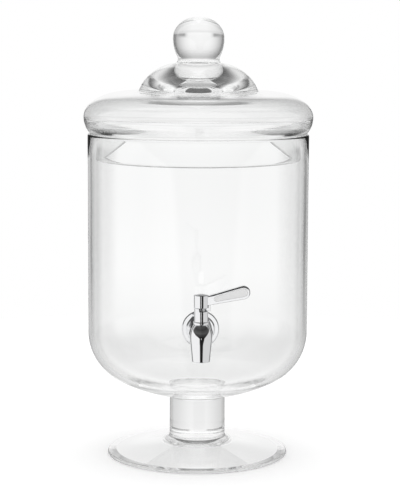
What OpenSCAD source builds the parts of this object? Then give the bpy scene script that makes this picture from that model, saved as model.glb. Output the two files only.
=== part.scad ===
// Footed glass drink dispenser with a lift-off glass lid and a quarter-turn tap.
// The origin is the middle of the foot's underside, +Z is up and the tap faces -Y.

/* [Glass bowl] */
// Outside diameter of the bowl
bowl_d = 216; // [190:1:240]
// Height of the bowl from the top of the stem to the rim
bowl_h = 258.4; // [220:0.2:300]
// Thickness of the side wall
bowl_wall = 4; // [3:0.5:6]
// Thickness of the floor at the middle
bowl_floor_t = 8; // [6:0.5:11]
// Outside radius of the corner between the side wall and the floor
bowl_corner_r = 52; // [40:1:62]
// Outside radius of the shallow floor curve
bowl_floor_r = 173; // [150:1:220]

/* [Stem and foot] */
// Diameter of the stem
stem_d = 54.8; // [44:0.2:66]
// Length of the stem between the foot and the bowl
stem_len = 45; // [30:1:70]
// Radius of the flare at the lower end of the stem
stem_flare_r = 5; // [3:0.5:8]
// Height of the rounded lip under the flare
stem_lip_h = 0.8; // [0.5:0.1:2]
// Diameter of the foot
foot_d = 177.8; // [150:0.2:200]
// Height of the foot at its flat top
foot_h = 14; // [10:0.5:20]
// Thickness of the foot's rounded rim
foot_rim_t = 3.2; // [2.4:0.2:5]
// Width of the flat ring that the foot rests on
foot_ring_w = 8; // [5:0.5:14]
// Margin of the foot's flat top around the flare
foot_top_margin = 1; // [0.5:0.5:4]

/* [Glass lid] */
// Thickness of the lid's wall
lid_wall = 4; // [3:0.5:5]
// How far the lid's shoulder stands out past the bowl
lid_overhang = 3.75; // [2:0.25:6]
// Height of the shoulder's widest point above the rim
lid_widest_h = 16; // [12:0.5:20]
// Height of the shoulder's flat crest above the rim
lid_crest_h = 40.6; // [34:0.2:46]
// Width of the flat crest around the dome
lid_crest_w = 8.8; // [5:0.2:14]
// Radius of the dome's rounded side
dome_arc_r = 43; // [38:1:48]
// Radius of the dome's flat top
dome_flat_r = 18.3; // [16:0.1:21]
// Height of the dome's top above the rim
dome_top_h = 68.5; // [62:0.5:76]
// Radius of the fillet between the dome and the crest
dome_fillet_r = 4; // [2:0.5:6]
// Thickness of the glass between the dome's hollow and its top
dome_top_t = 4; // [3:0.5:12]
// Depth of the skirt below the rim
skirt_depth = 25.5; // [15:0.5:40]
// Gap between the skirt and the inside of the bowl
skirt_gap = 3.7; // [1:0.1:6]
// Gap between the lid's seat and the rim
lid_seat_gap = 0.3; // [0.2:0.05:0.5]
// Diameter of the neck under the knob
neck_d = 40.4; // [36:0.2:44]
// Height of the straight neck on the lid
neck_h = 1; // [0.6:0.2:3]
// Radius of the fillet between the neck and the dome
neck_fillet_r = 4; // [2:0.5:6]
// Widest diameter of the knob
knob_d = 50; // [45:0.5:58]
// Height of the knob's widest point above the neck
knob_widest_h = 19.1; // [15:0.1:24]
// Height of the knob's cap above its widest point
knob_cap_h = 20.7; // [15:0.1:26]

/* [Tap body] */
// Height of the tap above the start of the bowl's corner
tap_rise = 21.4; // [19:0.1:40]
// Distance from the bowl to the spout's axis
tap_reach = 27; // [24:0.5:36]
// Diameter of the round body at the spout's top
body_d = 22; // [20:0.5:26]
// Length of the nozzle below the tap's centre
nozzle_len = 25.7; // [20:0.1:34]
// Outside diameter of the nozzle's tip
nozzle_tip_d = 16.7; // [15:0.1:19]
// Diameter of the nozzle's bore
nozzle_bore_d = 10.4; // [9:0.1:11.4]
// Thread diameter of the shank
shank_d = 15.8; // [14:0.1:18]
// Depth of the shank's thread
thread_depth = 0.7; // [0.4:0.1:1]
// Pitch of the shank's thread
thread_pitch = 2; // [1.5:0.25:3]
// Diameter of the shank's bore
shank_bore_d = 9; // [7:0.1:10]
// Length of shank left past the nut
shank_past_nut = 2.3; // [1:0.1:6]
// Wall of the barrel outside the shank's thread
barrel_wall = 1.4; // [1:0.1:2.4]

/* [Tap fastening] */
// Diameter of the escutcheon
escutcheon_d = 34.8; // [31:0.2:40]
// Height of the escutcheon at its boss
escutcheon_h = 4.2; // [3.4:0.1:7]
// Thickness of the escutcheon's rim
escutcheon_rim_t = 1.7; // [0.8:0.1:2]
// Width of the escutcheon's step outside the boss
escutcheon_step_w = 2.1; // [1:0.1:4]
// Width of the escutcheon's boss outside the barrel
escutcheon_boss_w = 1.2; // [0.8:0.1:2]
// Diameter of the gasket on the outside of the bowl
front_gasket_d = 30; // [26:0.5:34]
// Diameter of the gasket on the inside of the bowl
rear_gasket_d = 28; // [25:0.5:34]
// Thickness of both gaskets at the middle
gasket_t = 2.5; // [2:0.1:4]
// Diameter of the flat washer
washer_d = 26; // [24:0.5:32]
// Thickness of the flat washer
washer_t = 1.2; // [0.8:0.1:2]
// Width of the nut across its flats
nut_w = 24; // [22:0.5:30]
// Thickness of the nut
nut_t = 6; // [4:0.5:9]
// Gap between the shank and the hole in the bowl
hole_gap = 0.6; // [0.3:0.1:1.2]

/* [Valve] */
// Diameter of the bonnet sleeve
bonnet_d = 12.8; // [12:0.1:14.4]
// Height of the bonnet's top above the tap's centre
bonnet_h = 23.7; // [20:0.1:28]
// Width of the collar at the foot of the bonnet
collar_w = 1; // [0.6:0.1:1.6]
// Height of the collar at the foot of the bonnet
collar_h = 2.4; // [1.5:0.1:4]
// Wall of the seal around the valve core
seal_wall = 0.95; // [0.7:0.05:1.2]
// Diameter of the port through the valve core
port_d = 6; // [5:0.1:7]
// Height of the valve core above its port
core_cap_h = 1.6; // [1:0.1:2]
// Depth of the valve chamber below the port
chamber_below = 5; // [4:0.5:7]
// Diameter of the valve spindle
spindle_d = 7.8; // [7:0.1:8.4]
// Thickness of the thrust washer
thrust_t = 0.4; // [0.3:0.05:0.6]
// Thickness of each spindle ring
ring_d = 1.2; // [1:0.05:1.4]
// Distance between the spindle rings
ring_step = 4.5; // [3:0.1:6]
// Gap around pieces that turn
run_gap = 0.05; // [0.03:0.01:0.1]
// Gap around pieces that stay put
fit_gap = 0.05; // [0.03:0.01:0.1]

/* [Lever handle] */
// Diameter of the hub
hub_d = 13.6; // [13:0.1:16]
// Height of the hub
hub_h = 11.8; // [10:0.1:15]
// Gap between the hub and the bonnet
hub_gap = 0.3; // [0.2:0.05:0.5]
// Distance from the hub's axis to the lever's tip
lever_len = 44.5; // [36:0.5:60]
// Height of the lever at the hub
lever_root_h = 8.4; // [7:0.1:9.6]
// Height of the lever at its tip
lever_tip_h = 12.2; // [9:0.1:16]
// Thickness of the lever
lever_t = 6.5; // [5:0.1:9]
// Slope of the lever in degrees
lever_slope = 13.3; // [5:0.1:20]
// Height of the lever's root above the underside of the hub
lever_root_z = 6.9; // [5.5:0.1:8]
// Width of the lever's frame around its inset plate
plate_margin = 2.3; // [1:0.1:3]
// Distance from the hub's axis to the inset plate's inner end
plate_start = 12; // [10:0.5:18]
// Thickness of the inset plate
plate_t = 0.6; // [0.4:0.05:1]
// Depth of the plate's face below the lever's face
plate_sink = 0.2; // [0.1:0.05:0.5]
// Turn of the lever from shut to open in degrees
lever_turn = 90; // [60:5:120]
// Width of the stop lug in degrees
lug_angle = 30; // [20:1:40]
// Height of the stop lug under the hub
lug_h = 2.8; // [2:0.1:4]
// How far the stop lug stands out past the hub
lug_reach = 1.8; // [1:0.1:3]
// Play between the lug and each end of its notch in degrees
lug_play = 1; // [0.5:0.1:2]
// Gap under and behind the lug
lug_gap = 0.4; // [0.3:0.05:0.6]
// Width of the square drive across its flats
drive_w = 5; // [4.4:0.1:5.2]
// Diameter of the handle screw
screw_d = 2.9; // [2.4:0.1:3.2]
// Length of the handle screw under its head
screw_len = 10; // [7:0.5:14]
// Diameter of the handle screw's head
screw_head_d = 5.5; // [5:0.1:6.4]
// Height of the handle screw's head
screw_head_h = 1.8; // [1.4:0.1:2.2]
// Thickness of the hub's web under the screw head
web_t = 2; // [1.5:0.1:3]
// Width of the hub's rim around the cap
cap_rim = 0.9; // [0.6:0.1:1.4]
// Thickness of the cap at its edge
cap_t = 1; // [0.7:0.1:1.6]
// Height of the cap's crown
cap_crown = 1.1; // [0.2:0.1:1.6]

/* [Hidden] */

// Steps along one arc of an outline, around a turned piece and around the bowl where a gasket fits it
arc_steps = 14;
round_steps = 96;
fine_steps = 720;
// Shortest side of an outline
least_side = 0.01;
// Length that a cutting shape runs past the face it cuts
past = 1;

glass = [0.86, 0.91, 0.91, 0.45];
chrome = [0.78, 0.79, 0.8];
steel = [0.68, 0.69, 0.7];
satin = [0.6, 0.6, 0.61];
silicone = [0.9, 0.9, 0.88];
polymer = [0.94, 0.94, 0.92];

// Foot, stem and bowl
foot_r = foot_d / 2;
foot_edge_r = foot_rim_t / 2;
stem_r = stem_d / 2;
stem_top_z = foot_h + stem_len;
foot_top_r = stem_r + stem_flare_r + foot_top_margin;
foot_slope = atan((foot_h - foot_rim_t) / (foot_r - foot_edge_r - foot_top_r));
// The hollow under the foot has a side that runs along with the foot's slope
foot_hollow_r = foot_r - foot_edge_r - foot_ring_w;
foot_hollow_h = (foot_hollow_r - foot_top_r) * tan(foot_slope);
bowl_r = bowl_d / 2;
bowl_in_r = bowl_r - bowl_wall;
rim_z = stem_top_z + bowl_h;
rim_r = bowl_wall / 2;
corner_x = bowl_r - bowl_corner_r;
corner_in_r = bowl_corner_r - bowl_wall;
floor_z = stem_top_z + sqrt(pow(bowl_floor_r, 2) - pow(stem_r, 2));
corner_z = floor_z - sqrt(pow(bowl_floor_r - bowl_corner_r, 2) - pow(corner_x, 2));
floor_start = asin(stem_r / bowl_floor_r) - 90;
floor_end = asin(corner_x / (bowl_floor_r - bowl_corner_r)) - 90;
// The inner floor's curve runs into the inner corner and has its lowest point at the middle
floor_in_low = stem_top_z + bowl_floor_t;
floor_drop = corner_z - floor_in_low;
floor_in_r =
    (pow(corner_x, 2) + pow(floor_drop, 2) - pow(corner_in_r, 2)) / (2 * (floor_drop - corner_in_r));
floor_in_end = asin(corner_x / (floor_in_r - corner_in_r)) - 90;

// Lid
lid_r = bowl_r + lid_overhang;
widest_z = rim_z + lid_widest_h;
crest_z = rim_z + lid_crest_h;
seat_z = rim_z + lid_seat_gap;
seat_r = bowl_r - rim_r;
under_arc_r = (pow(lid_r - seat_r, 2) + pow(widest_z - seat_z, 2)) / (2 * (lid_r - seat_r));
under_x = lid_r - under_arc_r;
under_start = asin((seat_z - widest_z) / under_arc_r);
skirt_r = bowl_in_r - skirt_gap;
skirt_in_r = skirt_r - lid_wall;
dome_z = rim_z + dome_top_h - dome_arc_r;
valley_z = crest_z + dome_fillet_r;
valley_a = asin((valley_z - dome_z) / (dome_arc_r + dome_fillet_r));
valley_x = dome_flat_r + (dome_arc_r + dome_fillet_r) * cos(valley_a);
crest_r = valley_x + lid_crest_w;
// The hollow under the dome is a bell that starts below the middle of the crest
ceiling_z = crest_z - lid_wall;
hollow_r = valley_x + lid_crest_w / 2;
hollow_h = rim_z + dome_top_h - dome_top_t - ceiling_z;
// The shoulder's inside runs into the skirt a little below the rim
run_h = lid_widest_h + lid_wall / 2;
neck_r = neck_d / 2;
neck_a = acos((neck_r + neck_fillet_r - dome_flat_r) / (dome_arc_r + neck_fillet_r));
neck_fillet_z = dome_z + (dome_arc_r + neck_fillet_r) * sin(neck_a);
neck_z = neck_fillet_z + neck_h;
knob_r = knob_d / 2;
knob_widest_z = neck_z + knob_widest_h;
knob_arc_r = (pow(knob_r - neck_r, 2) + pow(knob_widest_h, 2)) / (2 * (knob_r - neck_r));

// Tap body and its fastening, as distances from the bowl's axis
tap_z = corner_z + tap_rise;
spout_y = bowl_r + tap_reach;
shank_r = shank_d / 2;
hole_r = shank_r + hole_gap;
slip_r = shank_r + 2 * fit_gap;
barrel_r = shank_r + barrel_wall;
front_seat = bowl_r + gasket_t;
escutcheon_front = front_seat + escutcheon_h;
rear_seat = bowl_in_r - gasket_t;
nut_front = rear_seat - washer_t;
nut_back = nut_front - nut_t;
shank_end = nut_back - shank_past_nut;
escutcheon_r = escutcheon_d / 2;
boss_r = barrel_r + escutcheon_boss_w;
nut_corner_r = nut_w / 2 / cos(30);
body_r = body_d / 2;
tip_r = nozzle_tip_d / 2;
tip_reach = norm([tip_r, nozzle_len]);
nozzle_a = acos(body_r / tip_reach) - atan(nozzle_len / tip_r);

// Valve, as heights above the tap's centre
bonnet_r = bonnet_d / 2;
chamber_r = bonnet_r + fit_gap;
core_r = bonnet_r - seal_wall - run_gap;
collar_r = bonnet_r + collar_w;
collar_low = sqrt(pow(body_r, 2) - pow(chamber_r, 2)) + fit_gap;
port_r = port_d / 2;
core_top = port_r + core_cap_h;
chamber_low = -port_r - chamber_below;
core_low = chamber_low + 4 * run_gap;
spindle_r = spindle_d / 2;
bonnet_low = core_top + thrust_t + 2 * run_gap;
ring_first = bonnet_low + ring_step;
ring_mid_r = spindle_r - ring_d / 2 - run_gap / 2;
groove_r = ring_mid_r - ring_d / 2 - fit_gap;
groove_w = ring_d + 4 * fit_gap;

// Lever handle, as heights above the tap's centre
hub_r = hub_d / 2;
hub_low = bonnet_h + hub_gap;
hub_top = hub_low + hub_h;
cap_low = hub_top - cap_t;
cap_r = hub_r - cap_rim;
head_low = cap_low - screw_head_h - 2 * fit_gap;
drive_top = head_low - web_t;
lug_low = hub_low - lug_h;
notch_low = lug_low - lug_gap;
lug_in_r = spindle_r + 2 * lug_gap;
lug_out_r = hub_r + lug_reach;
screw_r = screw_d / 2;
lever_root_r = lever_root_h / 2;
lever_tip_r = lever_tip_h / 2;
lever_root = [hub_r, hub_low + lever_root_z];
lever_run = lever_len - lever_tip_r - hub_r;
lever_tip = lever_root + [lever_run, lever_run * tan(lever_slope)];
plate_face = lever_t / 2 - plate_sink;

// Points of an arc, and of an upright oval's arc, between two angles
function oval(c, rx, rz, a0, a1) =
    [for (i = [0:arc_steps]) let (a = a0 + (a1 - a0) * i / arc_steps) c + [rx * cos(a), rz * sin(a)]];
function arc(c, r, a0, a1) = oval(c, r, r, a0, a1);
// Points of a bell's side from its top outwards, and of a smooth run between two upright ends
function bell(r, h, z) =
    [for (i = [0:2 * arc_steps]) let (t = i / arc_steps / 2) [r * t, z + h * (1 + cos(180 * t)) / 2]];
function run(p, q) =
    [for (i = [0:arc_steps]) let (t = i / arc_steps, s = t * t * (3 - 2 * t))
        [p.x + (q.x - p.x) * s, p.y + (q.y - p.y) * t]];

// An outline without the points that two arcs share
function tidy(p) =
    [for (i = [0:len(p) - 1]) if (i == 0 || norm(p[i] - p[max(i, 1) - 1]) > least_side) p[i]];

// Outline around two discs of different size
function pear(c0, r0, c1, r1) =
    let (d = c1 - c0, lean = atan2(d[1], d[0]), a = acos((r0 - r1) / norm(d)))
    concat(arc(c0, r0, lean + a, lean + 360 - a), arc(c1, r1, lean - a, lean + a));

module turned(points) {
    rotate_extrude($fn = round_steps) polygon(tidy(points));
}

module tube(r_out, r_in, low, high) {
    translate([0, 0, low]) difference() {
        cylinder(r = r_out, h = high - low, $fn = round_steps);
        translate([0, 0, -past]) cylinder(r = r_in, h = high - low + 2 * past, $fn = round_steps);
    }
}

module rod(r, low, high, steps = round_steps) {
    translate([0, 0, low]) cylinder(r = r, h = high - low, $fn = steps);
}

// A slice of a disc between two angles
module slice(r, a0, a1) {
    polygon(concat([[0, 0]], arc([0, 0], r, a0, a1)));
}

// Along the tap's bore, with heights measured out from the bowl's axis
module on_bore() {
    translate([0, 0, tap_z]) rotate([90, 0, 0]) children();
}

// On the spout's upright axis, with heights measured from the tap's centre
module on_spout() {
    translate([0, -spout_y, tap_z]) children();
}

module glass_bowl() {
    color(glass) difference() {
        turned(concat(
            [[0, stem_top_z]],
            arc([0, floor_z], bowl_floor_r, floor_start, floor_end),
            arc([corner_x, corner_z], bowl_corner_r, floor_end, 0),
            arc([bowl_r - rim_r, rim_z - rim_r], rim_r, 0, 180),
            arc([corner_x, corner_z], corner_in_r, 0, floor_in_end),
            arc([0, floor_in_low + floor_in_r], floor_in_r, floor_in_end, -90)
        ));
        on_bore() rod(hole_r, rear_seat, front_seat);
    }
}

module glass_stem() {
    flare_x = stem_r + stem_flare_r;
    flare_z = foot_h + stem_lip_h + stem_flare_r;
    color(glass) turned(concat(
        [[0, foot_h], [flare_x, foot_h]],
        arc([flare_x, flare_z], stem_flare_r, 270, 180),
        [[stem_r, stem_top_z], [0, stem_top_z]]
    ));
}

module glass_foot() {
    color(glass) turned(concat(
        [[0, foot_hollow_h], [foot_top_r, foot_hollow_h], [foot_hollow_r, 0]],
        arc([foot_r - foot_edge_r, foot_edge_r], foot_edge_r, -90, 90 - foot_slope),
        [[foot_top_r, foot_h], [0, foot_h]]
    ));
}

module lid_shell() {
    outside = concat(
        [[skirt_in_r, rim_z - skirt_depth], [skirt_r, rim_z - skirt_depth], [skirt_r, seat_z]],
        arc([under_x, widest_z], under_arc_r, under_start, 0),
        oval([crest_r, widest_z], lid_r - crest_r, crest_z - widest_z, 0, 90),
        arc([valley_x, valley_z], dome_fillet_r, 270, 180 + valley_a),
        arc([dome_flat_r, dome_z], dome_arc_r, valley_a, neck_a),
        arc([neck_r + neck_fillet_r, neck_fillet_z], neck_fillet_r, 180 + neck_a, 180),
        [[neck_r, neck_z], [0, neck_z]]
    );
    inside = concat(
        bell(hollow_r, hollow_h, ceiling_z),
        oval([crest_r, widest_z], lid_r - crest_r - lid_wall, ceiling_z - widest_z, 90, 0),
        run([lid_r - lid_wall, widest_z], [skirt_in_r, widest_z - run_h])
    );
    color(glass) turned(concat(outside, inside));
}

module lid_knob() {
    color(glass) turned(concat(
        [[0, neck_z]],
        arc([knob_r - knob_arc_r, knob_widest_z], knob_arc_r, -asin(knob_widest_h / knob_arc_r), 0),
        oval([0, knob_widest_z], knob_r, knob_cap_h, 0, 90)
    ));
}

// The threaded shank, with one ridge for each turn of its thread
module shank() {
    root_r = shank_r - thread_depth;
    turns = floor((escutcheon_front - shank_end) / thread_pitch);
    ridges = [for (i = [0:turns - 1], s = [0, 1]) [
        s == 0 ? root_r : shank_r,
        shank_end + (i + s / 2) * thread_pitch
    ]];
    top = escutcheon_front + past;
    turned(concat(
        [[0, shank_end]], ridges,
        [[root_r, shank_end + turns * thread_pitch], [root_r, top], [0, top]]
    ));
}

module body_form() {
    nozzle_top = body_r * sin(nozzle_a);
    on_spout() sphere(r = body_r, $fn = round_steps);
    on_spout() translate([0, 0, -nozzle_len])
        cylinder(r1 = tip_r, r2 = body_r * cos(nozzle_a), h = nozzle_len + nozzle_top, $fn = round_steps);
}

module tap_body() {
    color(chrome) difference() {
        body_form();
        on_spout() rod(chamber_r, chamber_low, body_r + past);
        on_spout() rod(nozzle_bore_d / 2, -nozzle_len - past, chamber_low + past);
        on_bore() rod(shank_bore_d / 2, spout_y - body_r - past, spout_y);
    }
}

module tap_shank() {
    color(chrome) difference() {
        union() {
            on_bore() rod(barrel_r, escutcheon_front, spout_y);
            on_bore() shank();
        }
        body_form();
        on_bore() rod(shank_bore_d / 2, shank_end - past, spout_y + past);
    }
}

module escutcheon() {
    edge_r = escutcheon_rim_t / 2;
    edge_z = front_seat + edge_r;
    rim_top = edge_z + edge_r;
    step_r = boss_r + escutcheon_step_w;
    step_z = (rim_top + escutcheon_front) / 2;
    color(chrome) on_bore() turned(concat(
        [[slip_r, front_seat], [escutcheon_r - edge_r, front_seat]],
        arc([escutcheon_r - edge_r, edge_z], edge_r, -90, 90),
        [[step_r, rim_top], [step_r, step_z], [boss_r, step_z]],
        [[boss_r, escutcheon_front], [slip_r, escutcheon_front]]
    ));
}

module front_gasket() {
    color(silicone) difference() {
        on_bore() tube(front_gasket_d / 2, slip_r, bowl_r - front_gasket_d / 2, front_seat);
        rod(bowl_r + fit_gap, 0, rim_z, fine_steps);
    }
}

module rear_gasket() {
    color(silicone) intersection() {
        on_bore() tube(rear_gasket_d / 2, slip_r, rear_seat, bowl_r);
        rod(bowl_in_r - fit_gap, 0, rim_z, fine_steps);
    }
}

module flat_washer() {
    color(steel) on_bore() tube(washer_d / 2, slip_r, nut_front, rear_seat);
}

module lock_nut() {
    chamfer = nut_corner_r - nut_w / 2;
    color(steel) on_bore() difference() {
        intersection() {
            translate([0, 0, nut_back]) cylinder(r = nut_corner_r, h = nut_t, $fn = 6);
            turned([
                [0, nut_back], [nut_w / 2, nut_back], [nut_corner_r, nut_back + chamfer / 2],
                [nut_corner_r, nut_front], [0, nut_front]
            ]);
        }
        rod(slip_r, nut_back - past, nut_front + past);
    }
}

module bonnet_sleeve() {
    color(chrome) on_spout() difference() {
        union() {
            tube(bonnet_r, spindle_r + run_gap, bonnet_low, bonnet_h);
            tube(collar_r, spindle_r + run_gap, collar_low, collar_low + collar_h);
        }
        translate([0, 0, notch_low]) linear_extrude(height = lug_h + lug_gap + past)
            slice(2 * bonnet_r, -lever_turn - lug_angle / 2 - lug_play, lug_angle / 2 + lug_play);
    }
}

module core_seal() {
    color(silicone) on_spout() difference() {
        tube(chamber_r - fit_gap, core_r + run_gap, chamber_low, core_top);
        rotate([-90, 0, 0]) rod(port_r, 0, body_r);
    }
}

// The rotary core, with a port from its side to its underside, and the spindle above it
module valve_core() {
    color(steel) on_spout() difference() {
        union() {
            rod(core_r, core_low, core_top);
            rod(spindle_r, core_top, hub_low - hub_gap);
            translate([-drive_w / 2, -drive_w / 2, core_top])
                cube([drive_w, drive_w, drive_top - 2 * fit_gap - core_top]);
        }
        rod(port_r, core_low - past, 0);
        sphere(r = port_r, $fn = round_steps);
        rotate([0, -90, 0]) rod(port_r, 0, body_r);
        rod(screw_r + fit_gap, head_low - screw_len - past, drive_top);
        for (i = [0, 1])
            translate([0, 0, ring_first + i * ring_step])
                tube(2 * spindle_r, groove_r, -groove_w / 2, groove_w / 2);
    }
}

module thrust_washer() {
    color(polymer) on_spout()
        tube(core_r - 2 * run_gap, spindle_r + run_gap, core_top, core_top + thrust_t);
}

module spindle_rings() {
    color(silicone) on_spout() for (i = [0, 1])
        translate([0, 0, ring_first + i * ring_step])
            rotate_extrude($fn = round_steps) translate([ring_mid_r, 0])
                circle(r = ring_d / 2, $fn = round_steps);
}

// Face of the inset plate, or of its pocket with a gap added, in the lever's upright plane
module plate_outline(gap) {
    along = (plate_start + lever_root_r - plate_margin - hub_r) / lever_run;
    end_r = lever_root_r + (lever_tip_r - lever_root_r) * along - plate_margin;
    polygon(tidy(pear(
        lever_root + (lever_tip - lever_root) * along, end_r + gap,
        lever_tip, lever_tip_r - plate_margin + gap
    )));
}

module lever_handle() {
    color(chrome) on_spout() difference() {
        union() {
            rod(hub_r, hub_low, hub_top);
            rotate([90, 0, 0]) translate([0, 0, -lever_t / 2]) linear_extrude(height = lever_t)
                polygon(tidy(pear(lever_root, lever_root_r, lever_tip, lever_tip_r)));
            translate([0, 0, lug_low]) linear_extrude(height = lug_h + lever_root_z) intersection() {
                difference() {
                    circle(r = lug_out_r, $fn = round_steps);
                    circle(r = lug_in_r, $fn = round_steps);
                }
                slice(2 * hub_r, -lug_angle / 2, lug_angle / 2);
            }
        }
        translate([-drive_w / 2 - fit_gap, -drive_w / 2 - fit_gap, hub_low - past])
            cube([drive_w + 2 * fit_gap, drive_w + 2 * fit_gap, drive_top - hub_low + past]);
        rod(screw_r + 2 * fit_gap, drive_top - past, head_low + past);
        rod(screw_head_d / 2 + 2 * fit_gap, head_low, cap_low + past);
        rod(cap_r + fit_gap, cap_low, hub_top + past);
        rotate([90, 0, 0]) translate([0, 0, plate_face - plate_t])
            linear_extrude(height = lever_t) plate_outline(fit_gap);
    }
}

module lever_plate() {
    color(satin) on_spout() rotate([90, 0, 0]) translate([0, 0, plate_face - plate_t])
        linear_extrude(height = plate_t) plate_outline(0);
}

module handle_screw() {
    slot_w = screw_head_d / 6;
    color(steel) on_spout() difference() {
        union() {
            rod(screw_r, head_low - screw_len, head_low + past);
            rod(screw_head_d / 2, head_low, head_low + screw_head_h);
        }
        translate([-screw_head_d, -slot_w / 2, head_low + screw_head_h / 2])
            cube([2 * screw_head_d, slot_w, screw_head_h]);
    }
}

module hub_cap() {
    crown_r = (pow(cap_r, 2) + pow(cap_crown, 2)) / (2 * cap_crown);
    crown_a = asin(cap_r / crown_r);
    color(chrome) on_spout() turned(concat(
        [[0, cap_low], [cap_r, cap_low]],
        arc([0, hub_top + cap_crown - crown_r], crown_r, 90 - crown_a, 90)
    ));
}

glass_bowl();
glass_stem();
glass_foot();
lid_shell();
lid_knob();
tap_body();
tap_shank();
escutcheon();
front_gasket();
rear_gasket();
flat_washer();
lock_nut();
bonnet_sleeve();
core_seal();
valve_core();
thrust_washer();
spindle_rings();
lever_handle();
lever_plate();
handle_screw();
hub_cap();
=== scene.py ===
import math

import bmesh
import bpy
from mathutils import Matrix, Vector


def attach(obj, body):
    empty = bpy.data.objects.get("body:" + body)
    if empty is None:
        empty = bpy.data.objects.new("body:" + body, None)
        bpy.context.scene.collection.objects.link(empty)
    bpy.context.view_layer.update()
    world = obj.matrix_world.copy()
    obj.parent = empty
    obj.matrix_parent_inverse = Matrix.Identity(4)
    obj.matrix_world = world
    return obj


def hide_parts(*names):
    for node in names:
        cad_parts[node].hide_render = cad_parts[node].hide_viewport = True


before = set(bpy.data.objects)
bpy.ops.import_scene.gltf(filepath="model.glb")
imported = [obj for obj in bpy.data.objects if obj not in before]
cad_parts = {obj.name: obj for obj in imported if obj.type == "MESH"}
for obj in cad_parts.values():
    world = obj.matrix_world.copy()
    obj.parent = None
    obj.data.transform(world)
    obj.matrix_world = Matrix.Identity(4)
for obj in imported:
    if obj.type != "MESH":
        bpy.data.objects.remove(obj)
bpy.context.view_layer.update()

MM = 0.001

# Sizes of the jar in millimetres, with heights from the underside of the foot
BOWL_R = 108.0
BOWL_IN_R = 104.0
RIM_Z = 317.4
RIM_ROUND = 2.0
RIM_STEP = 0.6
FLOOR_T = 8.0
FLOOR_R = 173.0
CORNER_AT = 56.0
CORNER_R = 52.0
CORNER_IN_R = 48.0
STEM_R = 27.4
STEM_TOP_Z = 59.0
STEM_FILLET = 2.5
FLARE_R = 5.0
FLARE_Z = 19.8
FOOT_R = 88.9
FOOT_H = 14.0
FOOT_EDGE = 1.6
SLOPE_R = 33.4
HOLLOW_R = 79.3

# Sizes of the lid in millimetres, with heights from the jar's rim
LID_WALL = 4.0
LID_OVERHANG = 3.75
LID_SEAT = 0.3
LID_WIDEST = 16.0
LID_CREST = 40.6
LID_TOP = 68.5
SKIRT_GAP = 3.7
SKIRT_LOW = -25.5
SKIRT_RUN = 18.0
CREST_OUT = 8.8
HOLLOW_OUT = 4.4
DOME_AT = 18.3
DOME_R = 43.0
DOME_TOP_T = 4.0
VALLEY_R = 4.0
NECK_R = 24.2
KNOB_R = 25.0
KNOB_H = 20.7
KNOB_LIFT = 20.1
KNOB_SIDE_R = 40.4
KNOB_SIDE_LOW = -27.4

# Sizes of the tap in millimetres, with heights from the tap's centre and distances from the jar's axis
TAP_Z = 143.955
SPOUT_Y = 135.0
HOLE_R = 8.5
PATCH_H = 20.0
PATCH_COLUMNS = 8
PATCH_RINGS = (0.3, 0.55, 0.75, 0.9, 1.0)
BODY_TOP = 8.9
COLLAR_R = 7.4
COLLAR_H = 2.4
CONE_TOP = (10.11, -9.0)
SWELL_H = 6.0
NOZZLE_LEN = 25.7
NOZZLE_TIP_R = 8.35
NOZZLE_BORE_R = 5.2
CHAMBER_R = 6.45
CHAMBER_LOW = -8.0
BARREL_R = 9.3
BARREL_BLEND = 1.5
SHANK_ROOT_R = 7.2
SHANK_BORE_R = 4.5
SHANK_END = 92.0
THREAD_START = 1.2
THREAD_SINK = 0.3
THREAD_H = 0.8
THREAD_PITCH = 2.0
THREAD_LEN = 20.6
SLIP_R = 8.0
FRONT_SEAT = 110.5
FLANGE_FRONT = 114.7
FLANGE_R = 17.4
FLANGE_STEP_R = 12.6
REAR_SEAT = 101.5
NUT_FRONT = 100.3
NUT_BACK = 94.3
NUT_W = 24.0
WASHER_R = 13.0
FRONT_GASKET_R = 15.0
REAR_GASKET_R = 14.0
BONNET_R = 6.4
BONNET_IN_R = 3.95
BONNET_LOW = 5.1
BONNET_H = 23.7
NOTCH_LOW = 20.8
NOTCH_TURN = (-106.0, 16.0)
HUB_R = 6.8
HUB_LOW = 24.0
HUB_TOP = 35.8
HUB_BORE_R = 3.6
SCREW_HOLE_R = 1.55
HEAD_HOLE_R = 2.85
CAP_R = 5.9
CAP_LOW = 34.8
CAP_CROWN = 1.1
LUG_LOW = 21.2
LUG_IN_R = 4.7
LUG_OUT_R = 8.6
LUG_TOP = 29.0
LUG_HALF_TURN = 15.0
LEVER_ROOT = (6.8, 30.9)
LEVER_ROOT_R = 4.2
LEVER_TIP = (38.4, 38.37)
LEVER_TIP_R = 6.1
LEVER_T = 6.5
LEVER_EDGE = 0.25
LEVER_LEAN = 13.3
PLATE_ROOT = (13.9, 32.578)
PLATE_ROOT_R = 2.327
PLATE_TIP_R = 3.8
PLATE_FACE = 3.05
PLATE_T = 0.6
POCKET_GAP = 0.08


# Building blocks

def place(kind="upright"):
    """Where a piece drawn in millimetres around its own axis goes: upright, on the tap's bore or on the spout."""
    scale = Matrix.Scale(MM, 4)
    if kind == "bore":
        return scale @ Matrix.Translation((0, 0, TAP_Z)) @ Matrix.Rotation(math.pi / 2, 4, "X")
    if kind == "spout":
        return scale @ Matrix.Translation((0, -SPOUT_Y, TAP_Z))
    return scale


def feed(tree, node, inputs):
    """Sets a node's inputs by name or place, each to a value or to another node's socket."""
    for key, value in inputs.items():
        if isinstance(value, bpy.types.NodeSocket):
            tree.links.new(value, node.inputs[key])
        else:
            node.inputs[key].default_value = value


def add_node(tree, kind, inputs=None, **settings):
    """A node with its settings and inputs."""
    made = tree.nodes.new(kind)
    for key, value in settings.items():
        setattr(made, key, value)
    feed(tree, made, inputs or {})
    return made


def maths(tree, operation, *values):
    """The result of a Math node."""
    return add_node(tree, "ShaderNodeMath", dict(enumerate(values)), operation=operation).outputs[0]


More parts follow.
